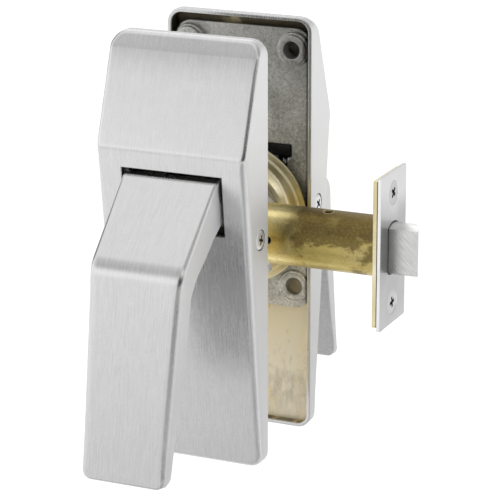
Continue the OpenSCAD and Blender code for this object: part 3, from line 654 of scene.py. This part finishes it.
def escutcheon(side):
    at = local(side)
    rc_t, rc_b = 6.0, 5.5
    arc = 9
    S = 9
    ts_out = [0, .15, .3, .45, .6, POCKET_X / (HW - 2.6), .84, .97, 1]
    ts_in = [0, .15, .3, .45, .58, POCKET_X / (HW - 1.6), .84, .97, 1]
    ts_out = [-t for t in ts_out[:0:-1]] + ts_out
    ts_in = [-t for t in ts_in[:0:-1]] + ts_in
    Mc = len(ts_out) - 1
    # chain of the right side from the top edge to the bottom edge: kind, angle or height
    chain = [("t", math.radians(90 - 90 * i / arc)) for i in range(arc + 1)]
    zs = [66, 61, 55, 49, 43, 40, 38.6, 38.1, 37.7, 37.35, 37, 36.65, 36.3, 35.9, 35.4, 34, 32, 30, 26, 20, 14, 7.8, 2, -6, -16, -26, -36, -46, -56, -66, -72]
    chain += [("s", z) for z in zs]
    chain += [("b", math.radians(-90 * i / arc)) for i in range(arc + 1)]
    J = len(chain) - 1

    def rim_point(c, e):
        kind, v = c
        if kind == "t":
            return HW - rc_t + (rc_t - e) * math.cos(v), ZT - rc_t + (rc_t - e) * math.sin(v)
        if kind == "b":
            return HW - rc_b + (rc_b - e) * math.cos(v), ZB + rc_b + (rc_b - e) * math.sin(v)
        return HW - e, v

    def chain_r(c):
        return lerp_table(FILLET, rim_point(c, 0)[1])

    verts, faces, fm = [], [], []

    def ring(e_of, d_of, ts):
        """One loop: the top edge from left to right, the right side down, the bottom edge, the left side up."""
        start = len(verts)
        pts = [rim_point(c, e_of(c)) for c in chain]
        x0, z0 = pts[0]
        x1, z1 = pts[-1]
        loop = [(t * x0, z0, chain[0]) for t in ts]
        loop += [(pts[j][0], pts[j][1], chain[j]) for j in range(1, J + 1)]
        loop += [(t * x1, z1, chain[-1]) for t in ts[-2::-1]]
        loop += [(-pts[j][0], pts[j][1], chain[j]) for j in range(J - 1, 0, -1)]
        for x, z, c in loop:
            verts.append(at(x, d_of(c, z), z))
        return start, len(loop)

    def bridge(a, b, n, mat):
        for i in range(n):
            j = (i + 1) % n
            faces.append((a + i, a + j, b + j, b + i))
            fm.append(mat)

    rings = []
    # inside wall, rim, outside wall, fillet
    inner_h = lambda z: min(front_height(z) - 1.95, 3.4 + (75.2 - z) * 0.81)
    w = 1.6
    rings.append((ring(lambda c: w, lambda c, z: inner_h(z), ts_in), 1))
    rings.append((ring(lambda c: w, lambda c, z: 0.35, ts_in), 1))
    rings.append((ring(lambda c: w - 0.12, lambda c, z: 0.1, ts_in), 0))
    rings.append((ring(lambda c: w - 0.35, lambda c, z: 0.0, ts_in), 0))
    rings.append((ring(lambda c: 0.4, lambda c, z: 0.0, ts_out), 0))
    rings.append((ring(lambda c: 0.12, lambda c, z: 0.12, ts_out), 0))
    rings.append((ring(lambda c: 0.0, lambda c, z: 0.4, ts_out), 0))
    rings.append((ring(lambda c: 0.0, lambda c, z: max(0.45, (front_height(z) - chain_r(c)) * 0.97), ts_out), 0))
    for k in range(S + 1):
        f = math.pi / 2 * k / S
        rings.append((ring(lambda c, f=f: chain_r(c) * (1 - math.cos(f)),
                           lambda c, z, f=f: front_height(z) - chain_r(c) * (1 - math.sin(f)), ts_out), 0))
    for (a, m), (b, m2) in zip(rings, rings[1:]):
        bridge(a[0], b[0], a[1], m if m == m2 else m2)

    def grid(first, ts, h, mat, flip):
        """Fills a loop with rows from side to side; returns the vertex of each row and column."""
        s, n = first
        idx = [[None] * (Mc + 1) for _ in range(J + 1)]
        for i in range(Mc + 1):
            idx[0][i] = s + i
            idx[J][i] = s + Mc + J + (Mc - i)
        for j in range(1, J):
            idx[j][Mc] = s + Mc + j
            idx[j][0] = s + n - j
        inv = lambda v: (v[0], -v[1] - 20, v[2]) if side == "front" else (-v[0], v[1] - 20, v[2])
        for j in range(1, J):
            x, d, z = inv(verts[idx[j][Mc]])
            for i in range(1, Mc):
                idx[j][i] = len(verts)
                verts.append(at(ts[i] * x, h(z), z))
        for j in range(J):
            for i in range(Mc):
                if hole(j, i):
                    continue
                q = (idx[j][i], idx[j][i + 1], idx[j + 1][i + 1], idx[j + 1][i])
                faces.append(q[::-1] if flip else q)
                fm.append(mat)
        return idx

    j0 = next(j for j, c in enumerate(chain) if c == ("s", 30))
    j1 = next(j for j, c in enumerate(chain) if c == ("s", 7.8))
    i0 = min(range(Mc + 1), key=lambda i: abs(ts_out[i] + POCKET_X / (HW - 2.6)))
    i1 = Mc - i0
    hole = lambda j, i: j0 <= j < j1 and i0 <= i < i1
    go = grid(rings[-1][0], ts_out, front_height, 0, False)
    gi = grid(rings[0][0], ts_in, inner_h, 1, True)
    loop = [(j0, i) for i in range(i0, i1)] + [(j, i1) for j in range(j0, j1)] + [(j1, i) for i in range(i1, i0, -1)] + [(j, i0) for j in range(j1, j0, -1)]
    ch = 0.28
    mid = {}
    for j, i in loop:
        v = verts[go[j][i]]
        x, d, z = (v[0], -v[1] - 20, v[2]) if side == "front" else (-v[0], v[1] - 20, v[2])
        mid[(j, i)] = len(verts)
        verts.append(at(x, d - ch, z))
        verts[go[j][i]] = at(x + (ch if i == i1 else -ch if i == i0 else 0), d, z + (ch if j == j0 else -ch if j == j1 else 0))
    for p, q in zip(loop, loop[1:] + loop[:1]):
        faces.append((go[p[0]][p[1]], go[q[0]][q[1]], mid[q], mid[p]))
        fm.append(0)
        # painted shade: the pocket walls get the near-black pocket finish
        faces.append((mid[p], mid[q], gi[q[0]][q[1]], gi[p[0]][p[1]]))
        fm.append(2)
    o = finish_mesh(side + "_escutcheon_shell", verts, faces, [M["satin_chrome"], M["inside"], M["pocket"]], fm, sharp=28, weighted=False)
    # countersunk seats of the side screws
    for s in (-1, 1):
        v, f = lathe([(0.0001, -1.2), (3.9, -1.2), (3.9, 0.85), (4.0, 0.98), (4.3, 1.4), (0.0001, 1.4)],
                     lambda a, b, h, s=s: at(s * (29.5 - 0.55 + h * 0.6), 6.7 + a, 5.2 + b), 48)
        t = finish_mesh("seat_tool", v, f, [M["satin_chrome"]], sharp=30, weighted=False)
        cut(o, t)
    smooth(o, 28)
    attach(o, "case")
    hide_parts(side + "_escutcheon")
    return o


for side in ("front", "rear"):
    escutcheon(side)


# ------------------------------------------------------------------ paddles

PADDLE = [(13.4, 28.9, 0.6), (20.3, 28.2, 4.2), (47.7, 2.06, 12), (60.95, -73.3, 1.5), (58.9, -74.0, 1.6), (56.3, -73.5, 1.0),
          (53.7, -62.5, 40), (49.8, -50, 60), (44.2, -28, 120), (40.6, -7.6, 6), (36.2, -1.9, 20), (29, 3, 20), (22.5, 8.2, 9),
          (17.2, 11.4, 7), (12.0, 14.2, 2), (10.6, 17, 4), (9, 21.6, 1.2), (10.4, 25, 1)]


def paddle_hw(z):
    w = 18.5 if z >= 2 else 18.5 - 1.7 * (2 - z) / 71.9
    t = -69.9 - z
    if t > 0:
        t = min(t, 3.95)
        w -= 4.0 - math.sqrt(16.0 - t ** 2)
    return w


def paddle(side):
    at = local(side)
    line = rounded(PADDLE, 9)
    # long straight runs get points of their own, so that the taper and the shading stay even
    dense = []
    for i, p in enumerate(line):
        q = line[(i + 1) % len(line)]
        dense.append(p)
        n = int((Vector(q) - Vector(p)).length // (1.2 if min(p[1], q[1]) < -66 else 7))
        for k in range(1, n + 1):
            u = k / (n + 1)
            dense.append((p[0] + (q[0] - p[0]) * u, p[1] + (q[1] - p[1]) * u))
    line = dense
    n = len(line)
    P = [Vector(p) for p in line]
    area = sum(P[i - 1].cross(P[i]) for i in range(n))
    sgn = 1 if area > 0 else -1
    nrm = []
    for i in range(n):
        e = (P[(i + 1) % n] - P[i]).normalized() + (P[i] - P[i - 1]).normalized()
        e.normalize()
        nrm.append(Vector((-e.y, e.x)) * sgn)

    def edge_r(p, inward):
        d, z = p
        if d < 21:
            return 0.3 + 0.9 * max(0.0, d - 16) / 5
        if inward.x > -0.1:
            return 0.7
        return lerp_table([(26, 1.2), (14, 1.8), (2, 2.3), (-8, 2.9), (-46, 2.9), (-60, 2.8), (-69, 2.5), (-74, 1.6)], z)

    S = 6
    er = [edge_r(p, q) for p, q in zip(line, nrm)]
    for _ in range(4):
        er = [(er[i - 1] + 2 * er[i] + er[(i + 1) % n]) / 4 for i in range(n)]
    verts, faces = [], []
    starts = []

    def ring(x_of, inset_of):
        starts.append(len(verts))
        for i in range(n):
            p = P[i] + nrm[i] * inset_of(i)
            verts.append(at(x_of(i), p.x, p.y))

    for s in (-1, 1):
        steps = range(S + 1) if s < 0 else range(S, -1, -1)
        for k in steps:
            f = math.pi / 2 * k / S
            ring(lambda i, s=s, f=f: s * (paddle_hw(P[i].y) - er[i] * (1 - math.cos(f))),
                 lambda i, f=f: er[i] * (1 - math.sin(f)))
        if s < 0:
            for u in (-0.92, -0.5, 0.0, 0.5, 0.92):
                ring(lambda i, u=u: u * (paddle_hw(P[i].y) - er[i]), lambda i: 0.0)
    for a, b in zip(starts, starts[1:]):
        for i in range(n):
            j = (i + 1) % n
            faces.append((a + i, a + j, b + j, b + i))
    # side faces: laced from the bottom up, so that the round bottom corners stay clean
    i = j = min(range(n), key=lambda q: P[q].y)
    caps = []
    while True:
        ni, nj = (i + 1) % n, (j - 1) % n
        if min(P[ni].y, P[nj].y) > -45:
            break
        if P[ni].y <= P[nj].y:
            caps.append((j, i, ni))
            i = ni
        else:
            caps.append((nj, j, i))
            j = nj
    caps = [c for c in caps if len(set(c)) == 3]
    rest = [i]
    while rest[-1] != j:
        rest.append((rest[-1] + 1) % n)
    caps.append(tuple(rest))
    for c in caps:
        faces.append(tuple(starts[0] + q for q in c))
        faces.append(tuple(starts[-1] + q for q in reversed(c)))
    o = finish_mesh(side + "_paddle_casting", verts, faces, [M[side + "_paddle"]], sharp=34, weighted=False)
    v, f = prism([(-5, 8), (16.3, 8), (16.3, 32), (-5, 32)], lambda a, b, h: at(h, a, b), -4, 4, 0.3)
    cut(o, finish_mesh("spring_room", v, f, [M[side + "_paddle"]], weighted=False))
    v, f = lathe([(0.0001, -19), (3.22, -19), (3.22, 19), (0.0001, 19)], lambda a, b, h: at(h, 12 + a, 25 + b), 48)
    cut(o, finish_mesh("pin_bore", v, f, [M[side + "_paddle"]], weighted=False))
    for s in (-1, 1):
        v, f = lathe([(0.0001, 17.65 * s), (6.9, 17.65 * s), (6.9, 21 * s), (0.0001, 21 * s)], lambda a, b, h: at(h, 12 + a, 25 + b), 64)
        cut(o, finish_mesh("ear_room", v, f, [M[side + "_paddle"]], weighted=False))
    smooth(o, 34)
    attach(o, side + "_handle")
    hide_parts(side + "_paddle")
    # hub halves, fork and the bar that winds the spring
    parts = []
    for s in (-1, 1):
        parts.append(lathe([(3.22, 4.0 * s), (3.9, 4.0 * s), (4.2, 4.3 * s), (4.2, 17.3 * s), (3.9, 17.6 * s), (3.22, 17.6 * s)],
                           lambda a, b, h: at(h, 12 + a, 25 + b), 48))
        tip = [(3 + 3.2 * math.cos(math.radians(a)), -9.5 + 3.2 * math.sin(math.radians(a))) for a in range(168, 352, 12)]
        parts.append(prism([(9.2, 22), (9.2, 16)] + tip + [(12, 12), (13.4, 13.6), (15, 18), (15, 22)],
                           lambda a, b, h: at(h, a, b), 4 * s, 7.5 * s, 0.35))
    parts.append(prism([(9.5, 13.6), (14.5, 13.6), (14.5, 16.4), (9.5, 16.4)], lambda a, b, h: at(h, a, b), -4.2, 4.2, 0.3))
    v, f = merge(*parts)
    o2 = finish_mesh(side + "_paddle_fork", v, f, [M["black_steel"]], sharp=34)
    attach(o2, side + "_handle")


for side in ("front", "rear"):
    paddle(side)


# ------------------------------------------------------------------ hub rings, boss rims and cast scraps on the plates

RING = [(17.0, 3.6), (17.0, -3.0), (17.2, -3.55), (17.6, -3.88), (18.1, -4.0), (18.9, -4.0), (19.5, -3.86), (20.0, -3.52), (20.7, -2.82),
        (21.3, -2.2), (21.65, -1.75), (21.9, -1.3), (22.2, -1.02), (22.7, -0.9), (24.2, -0.9), (24.6, -0.94), (24.86, -0.84), (25.0, -0.6),
        (25.1, -0.25), (25.3, -0.03), (26.0, 0.0), (27.1, 0.0), (27.42, 0.1), (27.58, 0.3), (27.6, 0.5), (27.6, 0.85), (27.4, 1.0),
        (24.6, 1.25), (24.4, 1.5), (24.4, 3.6)]


def hub_ring(side):
    at = local(side)
    v, f = lathe(RING, lambda a, b, h: at(a, h, b), 144)
    o = finish_mesh(side + "_hub_ring_turned", v, f, [M["yellow_zinc"]], sharp=40)
    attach(o, "case")
    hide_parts(side + "_hub_ring")


def boss(side, name, x, z, profile):
    at = local(side)
    v, f = lathe(profile, lambda a, b, h: at(x + a, h, z + b), 64)
    o = finish_mesh(side + "_" + name, v, f, [M["cast_zinc"]], sharp=40)
    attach(o, "case")


UPPER = [(3.36, 5.3), (3.36, 0.45), (3.55, 0.12), (3.9, -0.05), (5.0, -0.06), (5.4, 0.1), (5.6, 0.5), (5.62, 1.2), (5.75, 1.45),
         (6.05, 1.5), (6.25, 1.6), (6.38, 1.9), (6.42, 3.0), (6.46, 3.4), (6.5, 3.62), (6.5, 4.6)]
LOWER = [(3.36, 5.0), (3.36, 3.4), (3.48, 3.16), (3.7, 3.08), (4.7, 3.08), (5.0, 3.12), (5.12, 3.3), (5.24, 3.34), (5.36, 3.28), (5.5, 3.05),
         (5.7, 2.98), (5.95, 3.02), (6.15, 3.2), (6.3, 3.45), (6.55, 3.58), (6.55, 4.4)]

for side in ("front", "rear"):
    hub_ring(side)
    for s, tag in ((-1, "a"), (1, "b")):
        boss(side, "upper_boss_" + tag, s * 21.2, 64.5, UPPER)
        boss(side, "lower_boss_" + tag, s * 21.2, -27.5, LOWER)


# ragged casting flash round the open ends of the window

def flash(side, name, path, thick, seed):
    at = local(side)
    pts, radii = [], []
    n = 26
    for i in range(n):
        u = i / (n - 1) * (len(path) - 1)
        j = min(int(u), len(path) - 2)
        w = u - j
        p = [path[j][c] * (1 - w) + path[j + 1][c] * w for c in range(3)]
        g = lambda q: math.sin(12.9898 * (i + seed) + 78.233 * q) * 43758.5453
        r = [g(q) - math.floor(g(q)) - 0.5 for q in (1, 2, 3, 4)]
        pts.append(at(p[0] + 0.35 * r[0], p[1] + 0.25 * r[1], p[2] + 0.35 * r[2]))
        radii.append(thick * (0.75 + 0.9 * r[3]) * min(1.0, 0.25 + 4 * min(i, n - 1 - i) / n))
    v, f = tube_along(pts, 1.0, 9)
    k = 0
    out = []
    for i in range(n):
        c = Vector(pts[i])
        for j in range(9):
            out.append(tuple(c + (Vector(v[k]) - c) * radii[i]))
            k += 1
    o = finish_mesh(side + "_" + name, out, f, [M["cast_zinc"]], sharp=50, weighted=False)
    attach(o, "case")


for side in ("front", "rear"):
    for s, tag in ((-1, "a"), (1, "b")):
        flash(side, "window_flash_" + tag, [(s * 18.3, 3.8, 20.6), (s * 18.5, 3.6, 21.8), (s * 19.6, 3.5, 22.3), (s * 21.2, 3.5, 22.7)], 0.42, 3 + s)
        flash(side, "notch_flash_" + tag, [(s * 16.2, 4.3, 21.9), (s * 17.0, 4.0, 21.2), (s * 17.4, 4.1, 20.2)], 0.5, 11 + s)


# ------------------------------------------------------------------ latch tube

def tube():
    seg, r = 240, 11.1
    xs = [13.0, 13.15, 13.4, 16, 19, 22] + [24 + 0.6 * i for i in range(8)] + [31 + 1.5 * i for i in range(8)]
    xs += [42.4 + 0.25 * i for i in range(23)] + [50 + 2 * i for i in range(8)] + [64.5, 66.3, 66.65]
    xs = sorted(set(round(x, 3) for x in xs))
    verts, faces = [], []
    dx, da = 45.2, math.radians(84)
    for k, x in enumerate(xs):
        for i in range(seg):
            a = 2 * math.pi * i / seg
            rr = r
            if k == 0:
                rr = r - 0.22
            if k == 1:
                rr = r - 0.06
            # punched dent with a raised lip; the angle is measured from -Y towards +Z
            t = math.hypot(x - dx, r * (((a - da + math.pi) % (2 * math.pi)) - math.pi))
            if t < 3.4:
                rr += 0.16 * math.exp(-((t - 1.9) / 0.45) ** 2)
                if t < 1.8:
                    rr -= 1.05 * (0.5 + 0.5 * math.cos(math.pi * t / 1.8)) ** 0.45
            verts.append((x, -rr * math.cos(a), rr * math.sin(a)))
    m = len(xs)
    for x, rr in ((13.0, 9.95), (13.2, 9.9), (66.65, 9.9)):
        for i in range(seg):
            a = 2 * math.pi * i / seg
            verts.append((x, -rr * math.cos(a), rr * math.sin(a)))
    order = list(range(m)) + [m + 2, m + 1, m]
    for p, q in zip(order, order[1:] + order[:1]):
        for i in range(seg):
            j = (i + 1) % seg
            faces.append((p * seg + i, p * seg + j, q * seg + j, q * seg + i))
    o = finish_mesh("latch_tube_drawn", verts, faces, [M["patina_brass"]], sharp=50, weighted=False)
    v, f = lathe([(0.0001, 9.0), (1.5, 9.0), (1.5, 10.85), (1.75, 11.3), (1.75, 14), (0.0001, 14)], lambda a, b, h: (25 + a, -h, 0.5 + b), 32)
    cut(o, finish_mesh("hole_tool", v, f, [M["patina_brass"]], weighted=False))
    smooth(o, 45)
    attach(o, "case")
    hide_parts("latch_tube")


tube()


# ------------------------------------------------------------------ bolt

def bolt():
    R, flat, back = 9.5, -4.7, 6.3
    cx, cy, cr = 67.5, -7.5, 14.0
    xs = [43.0, 43.3, 46, 50, 55, 60, 64, 66, 67.5] + [67.5 + 13.72 * math.sin(math.radians(a)) for a in range(4, 91, 4)] + [67.5 + 13.72]
    xs = sorted(set(round(x, 3) for x in xs))
    verts, faces = [], []
    na, nb, nf = 10, 10, 8
    loops = []
    for x in xs:
        y1 = back
        if x > cx:
            y1 = min(back, cy + math.sqrt(max(0.0, cr * cr - (x - cx) ** 2)))
        y1 = max(y1, flat + 0.12)
        g = 0.35 if x == xs[0] else 0.0
        loop = []
        zl = math.sqrt(R * R - flat * flat)
        a0 = math.atan2(zl, flat)
        a1 = math.atan2(math.sqrt(R * R - y1 * y1), y1)
        for i in range(nf):
            loop.append((flat, -zl + 2 * zl * i / nf))
        for i in range(na):
            a = a0 + (a1 - a0) * i / na
            loop.append((R * math.cos(a), R * math.sin(a)))
        zr = math.sqrt(R * R - y1 * y1)
        for i in range(nb):
            loop.append((y1, zr - 2 * zr * i / nb))
        for i in range(na):
            a = -a1 + (-a0 + a1) * i / na
            loop.append((R * math.cos(a), R * math.sin(a)))
        s = len(verts)
        for y, z in loop:
            verts.append((x, y * (1 - g / 10), z * (1 - g / 10)))
        loops.append(s)
        n = len(loop)
    for a, b in zip(loops, loops[1:]):
        for i in range(n):
            j = (i + 1) % n
            faces.append((a + i, b + i, b + j, a + j))
    faces.append(tuple(loops[0] + i for i in range(n)))
    faces.append(tuple(loops[-1] + n - 1 - i for i in range(n)))
    o = finish_mesh("latch_bolt_ground", verts, faces, [M["bolt_chrome"]], sharp=30, weighted=False)
    b = o.modifiers.new("edges", "BEVEL")
    b.width = 0.00045
    b.segments = 3
    b.limit_method = "ANGLE"
    b.angle_limit = math.radians(38)
    b.use_clamp_overlap = True
    b.harden_normals = False
    bake(o)
    v, f = lathe([(0.0001, 40), (5.8, 40), (5.8, 62), (0.0001, 62)], lambda a, b, h: (h, a, b), 64)
    cut(o, finish_mesh("bolt_bore", v, f, [M["bolt_chrome"]], weighted=False))
    smooth(o, 30)
    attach(o, "bolt")
    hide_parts("latch_bolt")


bolt()


# ------------------------------------------------------------------ screws

def cross_cut(o, place, w=0.95, reach=2.2, depth=1.3):
    """Cross recess that narrows downwards."""
    for k in (0, 1):
        verts = []
        for h, ww, rr in ((0.8, w * 0.62, reach * 1.08), (-depth, w * 0.40, reach * 0.55)):
            for a, b in ((-rr, -ww), (rr, -ww), (rr, ww), (-rr, ww)):
                verts.append(place(a if k == 0 else -b, b if k == 0 else a, h))
        faces = [(0, 1, 2, 3), (7, 6, 5, 4), (0, 4, 5, 1), (1, 5, 6, 2), (2, 6, 7, 3), (3, 7, 4, 0)]
        cut(o, finish_mesh("recess_tool", verts, faces, [M["black_steel"]], weighted=False))


def screw(name, place, profile, body, node_slot, look="screw_chrome", **kw):
    v, f = lathe(profile, place, 56)
    o = finish_mesh(name, v, f, [M[look], M["black_steel"]], sharp=34, weighted=False)
    cross_cut(o, place, **kw)
    smooth(o, 34)
    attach(o, body)
    return o


def turned(place, deg):
    c, s = math.cos(math.radians(deg)), math.sin(math.radians(deg))
    return lambda a, b, h: place(a * c - b * s, a * s + b * c, h)


SIDE_HEAD = [(0.0001, 0.42), (1.2, 0.40), (2.2, 0.31), (2.9, 0.17), (3.3, 0.0), (3.5, -0.16), (3.6, -0.36), (3.6, -0.6), (1.9, -0.85), (1.9, -7.8), (1.4, -8.0), (0.0001, -8.0)]
FACE_HEAD = [(0.0001, 0.0), (3.6, -0.02), (4.3, -0.06), (4.5, -0.14), (4.55, -0.28), (2.0, -2.7), (2.0, -6.0), (1.6, -6.4), (0.0001, -6.4)]

for side, deg in (("front", 20), ("rear", 48)):
    at = local(side)
    for s in (-1, 1):
        place = turned(lambda a, b, h, s=s, at=at: at(s * (29.35 + h), 6.7 + a, 5.2 + b), deg)
        screw("%s_side_screw_%s" % (side, "a" if s < 0 else "b"), place, SIDE_HEAD, "case", "screw_chrome", w=0.85, reach=1.9, depth=1.2)
    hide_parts(side + "_side_screws")

for s, deg in ((-1, 10), (1, 52)):
    place = turned(lambda a, b, h, s=s: (69.83 + h, a, s * 20.6 + b), deg)
    screw("face_screw_" + ("low" if s < 0 else "up"), place, FACE_HEAD, "case", "screw_chrome", look="face_screw", w=1.2, reach=2.3, depth=1.6)
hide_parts("faceplate_screws")


# ------------------------------------------------------------------ springs

def return_spring(side, way):
    at = local(side)
    r, turns, seg = 3.15, 4, 28
    path = [(-3, 12 + way * r, 38.2 - 0.7 * i) for i in range(13)]
    path += [(-3 + 6 * i / (turns * seg), 12 + way * r * math.cos(2 * math.pi * i / seg), 25 - r * math.sin(2 * math.pi * i / seg)) for i in range(turns * seg + 1)]
    path += [(3, 12 + way * r, 24 - 0.8 * i) for i in range(14)]
    v, f = tube_along([at(*p) for p in path], 0.5, 12)
    o = finish_mesh(side + "_return_spring_wire", v, f, [M["spring_dark"]], sharp=50, weighted=False)
    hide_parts(side + "_return_spring")
    Vector(at(-3, 12, 25)) * 0.001
    Vector(at(3, 12, 25)) * 0.001
    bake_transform(o)


return_spring("front", -1)
return_spring("rear", 1)


def bolt_spring():
    turns, seg = 7, 32
    path = [(18.2 + 24.2 * i / (turns * seg), 7 * math.cos(2 * math.pi * i / seg), 7 * math.sin(2 * math.pi * i / seg)) for i in range(turns * seg + 1)]
    half = turns * seg // 2
    for name, part, body, joint, start in (("bolt_spring_wire", path[:half + 1], "case", "retractor_slide", 0.0182),
                                           ("bolt_spring_wire_front", path[half:], "retractor", "bolt_slide", 0.0303)):
        v, f = tube_along(part, 0.5, 12)
        o = finish_mesh(name, v, f, [M["spring_steel"]], sharp=50, weighted=False)
        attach(o, body)
        if body == "case":
            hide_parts("bolt_spring")
        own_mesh(o)


bolt_spring()


# ------------------------------------------------------------------ floor, light, camera

def floor():
    z, s = -0.30, 6.0
    v = [(-s, -s, z), (s, -s, z), (s, s, z), (-s, s, z)]
    o = finish_mesh("floor", v, [(0, 1, 2, 3)], [], scale=1.0, weighted=False, recalc=False)
    k = Mat("floor_paper")
    # the white floor glows, and painted shade darkens it in soft pools in front of and under the object
    floor_tone_and_shade = k.span(k.noise(3.0, 3.0, 0.5), 0.3, 0.7, 0.985, 1.0)
    for at, near, far, low in (((0.03, -0.28, z), 0.08, 0.40, 0.55), ((0.34, -0.72, z), 0.15, 0.60, 0.45), ((-0.38, -0.62, z), 0.08, 0.34, 1.1), ((-0.9, -2.3, z), 0.5, 1.6, 0.72)):
        d = k.node("ShaderNodeVectorMath", operation="DISTANCE")
        k.link(k.co, d.inputs[0])
        d.inputs[1].default_value = at
        floor_tone_and_shade = k.math("MULTIPLY", floor_tone_and_shade, k.span(d.outputs["Value"], near, far, low, 1.0))
    white = k.ramp(floor_tone_and_shade, [(0.0, 0.0), (1.0, 0.92)])
    k.set(Base_Color=white, Roughness=0.9, Emission_Color=white, Emission_Strength=0.36)
    o.data.materials.append(k.m)


floor()


def softbox(name, at, to, size, power, colour=(1, 1, 1)):
    l = bpy.data.lights.new(name, "AREA")
    l.shape = "RECTANGLE"
    l.size, l.size_y = size
    l.energy = power
    l.color = colour
    o = bpy.data.objects.new(name, l)
    o.location = at
    o.rotation_euler = (Vector(to) - Vector(at)).to_track_quat("-Z", "Y").to_euler()
    scene.collection.objects.link(o)
    return o


softbox("key_front", (-0.75, -1.75, 0.50), (0, 0, 0), (1.0, 0.6), 0.5)

# soft tent: brighter and darker patches of sky by direction
world = bpy.data.worlds.new("studio")
world.use_nodes = True
wt = world.node_tree
sky = wt.nodes.new("ShaderNodeTexCoord").outputs["Generated"]
SKY = 0.80
PATCHES = [((-0.80, -0.58, 0.16), 10, 46, 0.42), ((-0.39, -0.27, 0.88), 14, 34, 0.34), ((-0.39, 0.87, 0.29), 20, 40, 0.10),
           ((0.97, 0.14, -0.04), 14, 32, 0.32), ((-0.98, -0.13, -0.05), 12, 28, 0.30), ((-0.39, 0.55, 0.73), 10, 28, 0.55),
           ((0.39, -0.90, 0.12), 18, 36, -0.70), ((0.80, -0.58, 0.02), 14, 28, -0.56), ((-0.39, -0.62, 0.68), 7, 24, -0.48),
           ((0.56, -0.12, 0.82), 12, 30, -0.32), ((-0.90, 0.27, 0.34), 8, 24, -0.50), ((-0.88, 0.42, -0.16), 8, 24, -0.45),
           ((0.62, -0.58, 0.53), 5, 18, 0.75), ((0.85, 0.50, 0.10), 10, 26, 0.50)]
total = None
for way, near, far, amount in PATCHES:
    d = wt.nodes.new("ShaderNodeVectorMath")
    d.operation = "DOT_PRODUCT"
    wt.links.new(sky, d.inputs[0])
    d.inputs[1].default_value = Vector(way).normalized()
    r = wt.nodes.new("ShaderNodeMapRange")
    r.interpolation_type = "SMOOTHSTEP"
    for i, x in enumerate((math.cos(math.radians(far)), math.cos(math.radians(near)), 0.0, amount)):
        r.inputs[i + 1].default_value = x
    wt.links.new(d.outputs["Value"], r.inputs[0])
    add = wt.nodes.new("ShaderNodeMath")
    add.operation = "ADD"
    if total is None:
        add.inputs[0].default_value = SKY
    else:
        wt.links.new(total, add.inputs[0])
    wt.links.new(r.outputs[0], add.inputs[1])
    total = add.outputs[0]
wt.nodes["Background"].inputs[0].default_value = (1, 1, 1, 1)
wt.links.new(total, wt.nodes["Background"].inputs[1])
scene.world = world
scene.view_settings.view_transform = "Standard"
scene.view_settings.look = "None"

cam = bpy.data.cameras.new("camera")
cam.sensor_width = 36.0
cam.sensor_fit = "HORIZONTAL"
cam.lens = 2439.67 / 500.0 * 36.0
cam.clip_start, cam.clip_end = 0.05, 30.0
co = bpy.data.objects.new("camera", cam)
rx, ux, bx = Vector((0.91314, 0.40764, -0.00229)), Vector((-0.1151, 0.26319, 0.95785)), Vector((0.39106, -0.87439, 0.28725))
co.matrix_world = Matrix(((rx.x, ux.x, bx.x, 0.36735), (rx.y, ux.y, bx.y, -0.79156), (rx.z, ux.z, bx.z, 0.25233), (0, 0, 0, 1)))
scene.collection.objects.link(co)
scene.camera = co
